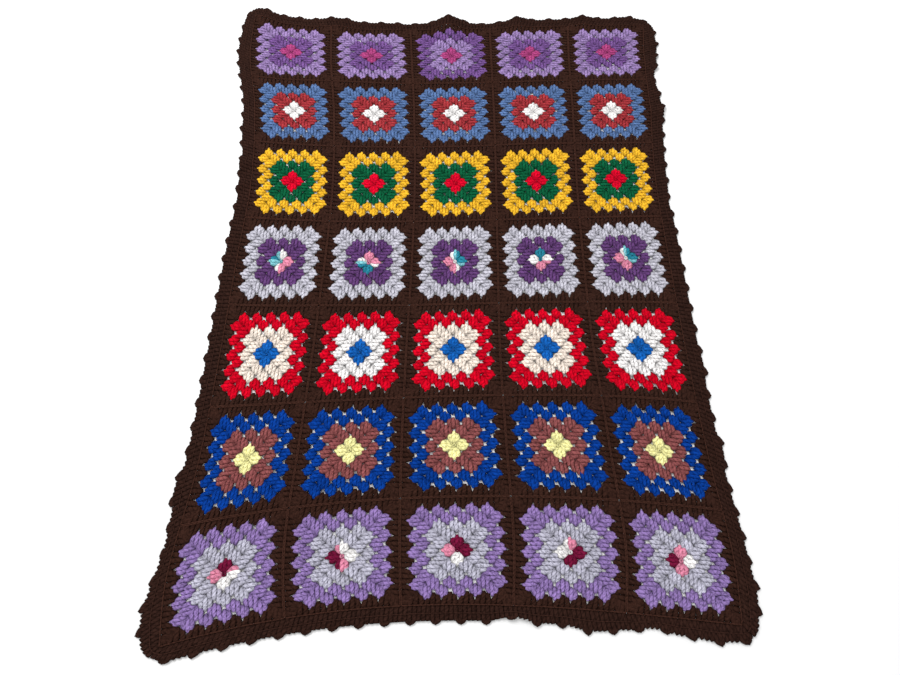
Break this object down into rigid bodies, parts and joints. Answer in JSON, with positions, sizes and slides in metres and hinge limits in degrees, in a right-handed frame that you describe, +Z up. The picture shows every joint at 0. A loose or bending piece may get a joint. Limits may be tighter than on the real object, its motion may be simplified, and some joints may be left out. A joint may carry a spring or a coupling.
{
  "type": "crochet throw",
  "caption": "Crochet throw of granny squares joined edge to edge in rows of one colour each, with a dark picot-edged border, laid out flat.",
  "frame": {"origin": "on the floor under the middle of the laid throw's box", "axes": "+X across the width, +Y along the length towards the first row of squares, +Z up"},
  "size_m": [0.9242, 1.2698, 0.0228],
  "materials": {
    "lilac_yarn": "matt worsted yarn, softly fuzzy",
    "denim_yarn": "matt worsted yarn, softly fuzzy",
    "gold_yarn": "matt worsted yarn, softly fuzzy",
    "silver_yarn": "matt worsted yarn, softly fuzzy",
    "scarlet_yarn": "matt worsted yarn, softly fuzzy",
    "royal_yarn": "matt worsted yarn, softly fuzzy",
    "violet_yarn": "matt worsted yarn, softly fuzzy",
    "brown_yarn": "matt worsted yarn, softly fuzzy"
  },
  "bodies": {
    "root": {"square_1_1": "lilac_yarn", "square_1_2": "lilac_yarn", "square_1_3": "lilac_yarn", "square_1_4": "lilac_yarn", "square_1_5": "lilac_yarn", "square_2_1": "denim_yarn", "square_2_2": "denim_yarn", "square_2_3": "denim_yarn", "square_2_4": "denim_yarn", "square_2_5": "denim_yarn", "square_3_1": "gold_yarn", "square_3_2": "gold_yarn", "square_3_3": "gold_yarn", "square_3_4": "gold_yarn", "square_3_5": "gold_yarn", "square_4_1": "silver_yarn", "square_4_2": "silver_yarn", "square_4_3": "silver_yarn", "square_4_4": "silver_yarn", "square_4_5": "silver_yarn", "square_5_1": "scarlet_yarn", "square_5_2": "scarlet_yarn", "square_5_3": "scarlet_yarn", "square_5_4": "scarlet_yarn", "square_5_5": "scarlet_yarn", "square_6_1": "royal_yarn", "square_6_2": "royal_yarn", "square_6_3": "royal_yarn", "square_6_4": "royal_yarn", "square_6_5": "royal_yarn", "square_7_1": "violet_yarn", "square_7_2": "violet_yarn", "square_7_3": "violet_yarn", "square_7_4": "violet_yarn", "square_7_5": "violet_yarn", "border": "brown_yarn"}
  },
  "joints": []
}
